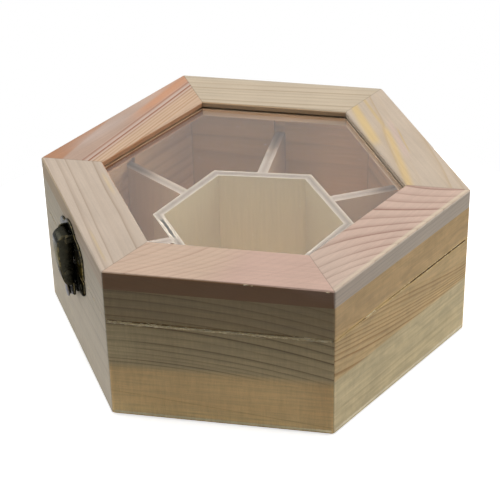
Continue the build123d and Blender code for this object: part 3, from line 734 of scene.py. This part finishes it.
# %% Rings of points become a closed piece
def pressed(outline, spine, low, high, round_low, round_high, steps=5):
    """A sheet with rounded rims: rings of (first, second, height) and how much each ring is scuffed and glints.

    Outline and spine are rings of the same count, or the spine is one point. The rings go from the spine under
    the sheet out to the rim, up over its two rounded edges and back to the spine on top. On an edge of radius
    r, the ring at the angle a lies r(1 - cos a) inside the outline and r(1 - sin a) short of the sheet's face."""
    spine = np.broadcast_to(spine, outline.shape)
    ahead = np.roll(outline, -1, axis=0) - np.roll(outline, 1, axis=0)
    inward = np.stack([-ahead[:, 1], ahead[:, 0]], axis=1) / np.linalg.norm(ahead, axis=1, keepdims=True)
    inward *= np.sign(np.sum(inward * (spine - outline)))
    angle = np.linspace(0, math.pi / 2, steps)
    below = round_low * (1 - np.cos(angle[::-1]))
    above = round_high * (1 - np.cos(angle))
    inset = np.concatenate([below, above])[:, None, None]
    rims = outline + inward * inset
    flat = np.concatenate([spine[None], rims, spine[None]])
    under = low + round_low * (1 - np.sin(angle[::-1]))
    over = high - round_high * (1 - np.sin(angle))
    height = np.concatenate([[low], under, over, [high]])
    wear_and_glint = np.concatenate([[0], np.sin(2 * angle[::-1]) * (round_low > 0), np.sin(2 * angle), [0]])
    height = np.broadcast_to(height[:, None], flat.shape[:2])
    return flat[..., 0], flat[..., 1], height, np.broadcast_to(wear_and_glint[:, None], height.shape)


def stamped(*rings, wear_and_glint_amount=1.0, upright=False):
    """A pressed sheet in the latch's place, flat on the wall or upright on it, and how much it is scuffed and glints.
    """
    first, second, height, wear_and_glint = pressed(*rings)
    return latch_place(height, first, second) if upright else latch_place(first, height, second), wear_and_glint * wear_and_glint_amount


def closed_piece(name, body, *grids, slot="antique_bronze"):
    """One mesh from grids (places, wear_and_glint): quads join each ring to the next, and doubles at poles are merged.
    Places are an array (ring, point, 3), or (shell, ring, point, 3) for many shells of one kind."""
    points, wear_and_glint_amount, quads, start = [], [], [], 0
    for places, wear_and_glint in grids:
        rows, columns = places.shape[-3:-1]
        shells = places.size // (rows * columns * 3)
        shell, row, column = np.meshgrid(np.arange(shells), np.arange(rows - 1), np.arange(columns), indexing="ij")
        beside = (column + 1) % columns
        ring = start + (shell * rows + row) * columns
        upper = ring + columns
        quads.append(np.stack([ring + column, ring + beside, upper + beside, upper + column], axis=-1).reshape(-1, 4))
        points.append(places.reshape(-1, 3))
        wear_and_glint_amount.append(np.broadcast_to(wear_and_glint, places.shape[:-1]).reshape(-1))
        start += shells * rows * columns
    mesh = bpy.data.meshes.new(name)
    mesh.from_pydata(np.concatenate(points).tolist(), [], np.concatenate(quads).tolist())
    mesh.attributes.new("wear_and_glint", "FLOAT", "POINT").data.foreach_set("value", np.concatenate(wear_and_glint_amount).astype(np.float32))
    build = bmesh.new()
    build.from_mesh(mesh)
    bmesh.ops.remove_doubles(build, verts=build.verts, dist=2e-6)
    bmesh.ops.dissolve_degenerate(build, edges=build.edges, dist=1e-7)
    bmesh.ops.recalc_face_normals(build, faces=build.faces)
    build.to_mesh(mesh)
    build.free()
    mesh.shade_smooth()
    mesh.set_sharp_from_angle(angle=math.radians(38))
    new = bpy.data.objects.new(name, mesh)
    scene.collection.objects.link(new)
    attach(new, body)
    print(name, "has", len(mesh.polygons), "faces")
    return new


# %% Lid plate and catch plate
def plate_rings(way, crown, notch, flank):
    """A latch plate's outline: three lobes on the side away from the seam, and a spine along its middle.

    Crown is the top of the middle lobe and notch the height where it meets the corner lobes. Flank is where
    a corner lobe ends on the plate's side, after a point half way down. Every point of the lobes has one
    straight below it on the seam's edge, so that both meet on the spine."""
    side_up, shoulder = flank
    middle = arc((-half_lobe, notch), (0, crown), (half_lobe, notch), 41)
    corner = arc((half_lobe, notch), (corner_lobe, shoulder), (half_plate, side_up), 25)[1:]
    corner[:, 0] = np.minimum(corner[:, 0], half_plate)
    top = np.concatenate([corner[::-1] * [-1, 1], middle, corner])
    side = np.linspace(side_up, seam_edge, 8)[1:-1]
    right = np.stack([np.full(6, half_plate), side], axis=1)
    bottom = np.stack([top[::-1, 0], np.full(len(top), seam_edge)], axis=1)
    outline = np.concatenate([top, right, bottom, right[::-1] * [-1, 1]])
    spine = np.stack([outline[:, 0] * 0.8, np.full(len(outline), side_up / 2)], axis=1)
    return outline * [1, way], spine * [1, way]


# an ear seen from the side: from the wall out round the pin and back
low, middle, high = 11.9, pivot[1], 15.5
ear_top = arc((pivot[0], low), (4.3, middle), (pivot[0], high), 17)
ear = np.concatenate([[(0.1, low)], ear_top, [(0.1, high), (0.1, middle)]])
ears = [stamped(ear, (1.8, middle), start, start + 0.9, 0.22, 0.22, upright=True) for start in (-5.2, 4.3)]
lid_plate = stamped(*plate_rings(1, 18.8, 15.0, (9.6, 13.3)), 0, sheet, 0, 0.45)
plate = closed_piece("latch_plate_pressed", "lid", lid_plate, *ears)
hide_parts("latch_plate")

nose_sides = [(0.5, -8.0), (1.9, -8.0), (3.4, -8.0), (3.4, -7.2), (3.4, -6.5), (1.9, -5.0), (0.5, -3.6), (0.5, -6.0)]
nose = stamped(np.array(nose_sides), (1.8, -6.4), -2.6, 2.6, 0.25, 0.25, upright=True)
catch_plate = stamped(*plate_rings(-1, 13.9, 9.9, (5.5, 8.9)), 0, sheet, 0, 0.45)
catch = closed_piece("latch_catch_pressed", "base", catch_plate, nose)
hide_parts("latch_catch")
dress(["latch_plate_pressed", "latch_catch_pressed"], bronze)

# %% Tongue
# Seen from the side: over the pin's barrel and the shoulder, down the belly, round the oval foot, and back up
barrel = arc((1.1, 13.7), (1.51, 14.69), (2.5, 15.1), 9)
shoulder = arc((3.2, 15.1), (6.02, 13.93), (7.18, 11.1), 15)
belly = arc((7.18, 11.1), (6.94, 3.0), (6.0, -5.0), 13)[1:]
turn = np.linspace(0, -math.pi, 19)[1:]
foot = np.stack([3.55 + 2.45 * np.cos(turn), -5.0 - 4.3 * np.sin(-turn)], axis=1)
back = np.stack([np.full(6, 1.1), np.linspace(-5.0, 13.7, 8)[1:-1]], axis=1)
tongue_outline = np.concatenate([barrel, shoulder, belly, foot, back])
belly_sheet = stamped(tongue_outline, (3.6, 3.0), -half_tongue, half_tongue, 0.5, 0.5, upright=True)
trough = closed_piece("latch_tongue_trough", "latch_tongue", belly_sheet)
# the trough is open towards the wall, so what hollows it reaches out there
inner_side = [(-1, 11.8), (6.2, 11.8), (6.05, 3.0), (5.1, -5.0), (4.6, -7.2), (3.5, -8.3), (-1, -8.3), (-1, 2)]
inner_half = half_tongue - sheet
hollow = stamped(np.array(inner_side), (2.5, 3.0), -inner_half, inner_half, 0.01, 0.01, wear_and_glint_amount=0, upright=True)
core = closed_piece("hollow", "latch_tongue", hollow)
cut = trough.modifiers.new("hollow", "BOOLEAN")
cut.object = core
cut.solver = "EXACT"
hollowed = bpy.data.meshes.new_from_object(trough.evaluated_get(bpy.context.evaluated_depsgraph_get()))
trough.modifiers.clear()
bpy.data.objects.remove(core)
print("the hollowed trough has", len(hollowed.polygons), "faces")

# %% The tongue's ends
# An oval boss on each cheek, the tail that carries the knob, and the ledge folded between foot and tail
boss_turn = np.linspace(0, 2 * math.pi, 40, endpoint=False)
boss = np.stack([3.6 + 2.2 * np.cos(boss_turn), -5.0 + 3.9 * np.sin(boss_turn)], axis=1)
boss_ends = ((-4.35, -3.6), (3.6, 4.35))
parts = [stamped(boss, (3.6, -5.0), *ends, 0.25, 0.25, wear_and_glint_amount=0.7, upright=True) for ends in boss_ends]
tail_top = -8.4
tail_round = arc((half_tongue, -13.1), (3.24, -14.94), (1.4, -15.7), 9)
tail = np.concatenate([[(half_tongue, tail_top)], tail_round, tail_round[::-1] * [-1, 1], [(-half_tongue, tail_top)]])
parts.append(stamped(tail, (0, -12.0), tail_back, tail_front, 0.2, 0.25))
ledge = np.array([(1.1, -8.5), (2.4, -8.5), (3.9, -8.5), (3.9, -9.3), (2.4, -9.3), (1.1, -9.3)])
parts.append(stamped(ledge, (2.4, -8.9), -3.9, 3.9, 0.15, 0.15, wear_and_glint_amount=0, upright=True))
rest_of_tongue = closed_piece("latch_tongue_ends", "latch_tongue", *parts)
joined = bmesh.new()
joined.from_mesh(hollowed)
joined.from_mesh(rest_of_tongue.data)
joined.to_mesh(trough.data)
joined.free()
bpy.data.objects.remove(rest_of_tongue)
trough.data.set_sharp_from_angle(angle=math.radians(38))
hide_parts("latch_tongue")
dress(["latch_tongue_trough"], bronze)
print("tongue faces:", len(trough.data.polygons))

# %% Pull knob
# Turned on a lathe: radius against distance from the box, with a waist that is a parabola
waist_out = np.linspace(2.2, 3.5, 13)
waist = 2.0 + 0.5 * ((waist_out - 2.8) / 0.65) ** 2
rim_turn = np.linspace(-math.pi / 2, math.pi / 2, 9)
rim = np.stack([3.8 + 0.28 * np.sin(rim_turn), 2.6 + 0.25 * np.cos(rim_turn)], axis=1)
foot_ring = [(1.1, 0.0), (1.1, 0.8), (1.9, 0.8), (1.9, 2.35), (2.1, 2.5)]
profile = np.concatenate([foot_ring, np.stack([waist_out, waist], axis=1), rim, [(4.28, 1.3), (4.34, 0.0)]])
knob_wear_and_glint = np.concatenate([np.zeros(len(foot_ring) + len(waist)), np.cos(rim_turn), [0.1, 0.1]])[:, None]
spin = np.linspace(0, 2 * math.pi, 40, endpoint=False)
reach = profile[:, 1:]
knob_grid = latch_place(reach * np.cos(spin), profile[:, :1], knob_height + reach * np.sin(spin))
knob = closed_piece("latch_knob_turned", "latch_tongue", (knob_grid, knob_wear_and_glint))
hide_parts("latch_knob")
dress(["latch_knob_turned"], painted_reflection_bronze)
print("knob reaches", round(float(profile[-1, 0]), 2), "mm out from the wall")

# %% [markdown]
# ## Torn fibres along the saw line
# The saw that opened the box tore the rims, and slivers of pale wood stand off them. Each is a spindle: a thin
# round thread, thickest in the middle, that leans out of the wall and slopes a little. They are spread at
# random along a wall, from a fixed seed.

# %% Torn fibre
torn, add = new_material("torn pine fibre")
place = add("TexCoord", pick="Object")
# straw that turns paler and darker every millimetre or so
streak = add("TexNoise", {"Vector": place, "Scale": 900.0})
straw = add("ValToRGB", {0: streak}, stops=[(0.35, "#E0CDA4"), (0.6, "#FAEDCB")])
bump = add("Bump", {"Height": streak, "Strength": 0.3, "Distance": 0.00005})
fibre = add("BsdfPrincipled", {"Base Color": straw, "Roughness": 0.8, "Normal": bump, "Specular IOR Level": 0.2})
add("OutputMaterial", {"Surface": fibre})
print("nodes in the torn fibre:", len(torn.node_tree.nodes))

# %% Slivers
half_side = 44.2


def slivers(side, start, end, height, count, longest, thick, seed, lean=0.25):
    """Places of spindles as an array (spindle, ring, point, 3): along s from 0 to 1 the thickness is
    thick x sin(pi s), or down to half of that, the place runs along the wall, and both ends dive into the wood."""
    chance = np.random.default_rng(seed)
    each = (count, 1, 1)
    length = chance.uniform(0.25, 1.0, each) * longest
    middle = chance.uniform(start, end, each)
    middle = np.clip(middle, length / 2 - half_side, half_side - length / 2)
    radius = thick * chance.uniform(0.5, 1.0, each) / 2
    slope = chance.normal(0, 0.12, each)
    stand = chance.uniform(0.4, 1.0, each) * lean
    level = height + chance.normal(0, 0.12, each)
    s = np.linspace(0, 1, 7)[None, :, None]
    angle = np.linspace(0, 2 * math.pi, 5, endpoint=False)[None, None, :]
    swell = np.sin(math.pi * s)
    out = apothem - 0.15 + stand * swell + radius * swell * np.cos(angle)
    along = middle + (s - 0.5) * length + 0 * angle
    up = level + (s - 0.5) * length * slope + radius * swell * np.sin(angle)
    way = math.radians((side - 0.5) * 360 / side_count)
    x = out * math.cos(way) - along * math.sin(way)
    y = out * math.sin(way) + along * math.cos(way)
    return np.stack([x, y, np.broadcast_to(up, x.shape)], axis=-1) / 1000


# rows of what slivers takes, with the torn front first
front = [
    (6, -36, 43, 46.55, 50, 12.0, 0.42, 11, 0.8), (6, -26, -22, 46.85, 4, 21.0, 0.55, 12, 0.9),
    (6, -44, -35, 47.2, 14, 2.5, 0.36, 13, 0.6), (6, -44, -36, 46.5, 12, 3.5, 0.36, 15, 0.6),
    (6, -44, 44, 46.6, 30, 3.0, 0.26, 14, 0.5),
]
right = [(1, -24, -20, 46.85, 9, 6.0, 0.5, 21, 0.55), (1, -44, 43, 46.2, 40, 3.0, 0.25, 22, 0.3)]
others = [(side, -42, 42, 46.65, 22, 3.0, 0.2, 30 + side) for side in (2, 3, 4, 5)]
base_slivers = [(slivers(*row), 0) for row in [*front, *right, *others]]
closed_piece("saw_fibres_base", "base", *base_slivers, slot="pine_wall")
lid_rows = [
    (6, 32, 39, 47.2, 7, 4.0, 0.4, 41, 0.4), (6, -44, 44, 47.0, 25, 2.5, 0.25, 42),
    (1, 0, 43, 47.35, 40, 2.5, 0.25, 43), (6, 10, 14, 69.8, 4, 2.5, 0.3, 44, 0.3),
    (6, 41, 43, 69.6, 4, 2.0, 0.3, 45, 0.3),
]
closed_piece("saw_fibres_lid", "lid", *[(slivers(*row), 0) for row in lid_rows], slot="pine_wall")
dress(["saw_fibres_base", "saw_fibres_lid"], torn)

# %% Dust on the glass
lint, add = new_material("dust and wood flour")
place = add("TexCoord", pick="Object")
# clouds of 0.4 mm, so that each grain has about one tone of its own
fluff = add("TexNoise", {"Vector": place, "Scale": 2500.0})
flour = add("ValToRGB", {0: fluff}, stops=[(0.4, "#E2DED6"), (0.6, "#F8F6F2")])
powder = add("BsdfPrincipled", {"Base Color": flour, "Roughness": 0.9, "Specular IOR Level": 0.1})
add("OutputMaterial", {"Surface": powder})


def specks(count, radius, height, seed):
    """Places of flat grains as an array (grain, ring, point, 3): small balls, drawn out a little and pressed to a
    third of their height, spread evenly over a circle because their distance is radius x sqrt(chance)."""
    chance = np.random.default_rng(seed)
    each = (count, 1, 1)
    far = radius * np.sqrt(chance.uniform(0, 1, each))
    angle = chance.uniform(0, 2 * math.pi, each)
    size = chance.uniform(0.07, 0.2, each)
    polar_angle = np.linspace(0, math.pi, 4)[None, :, None]
    turn = np.linspace(0, 2 * math.pi, 5, endpoint=False)[None, None, :]
    x = far * np.cos(angle) + 1.6 * size * np.sin(polar_angle) * np.cos(turn)
    y = far * np.sin(angle) + size * np.sin(polar_angle) * np.sin(turn)
    z = height + size / 3 * (1 + np.cos(polar_angle)) + 0 * turn
    return np.stack([x, y, z], axis=-1) / 1000


glass_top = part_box("glass_pane")[1][2] * 1000
closed_piece("dust_on_glass", "lid", (specks(48, 53, glass_top, 7), 0), slot="pine_wall")
dress(["dust_on_glass"], lint)
print("glass top at", round(glass_top, 2), "mm")
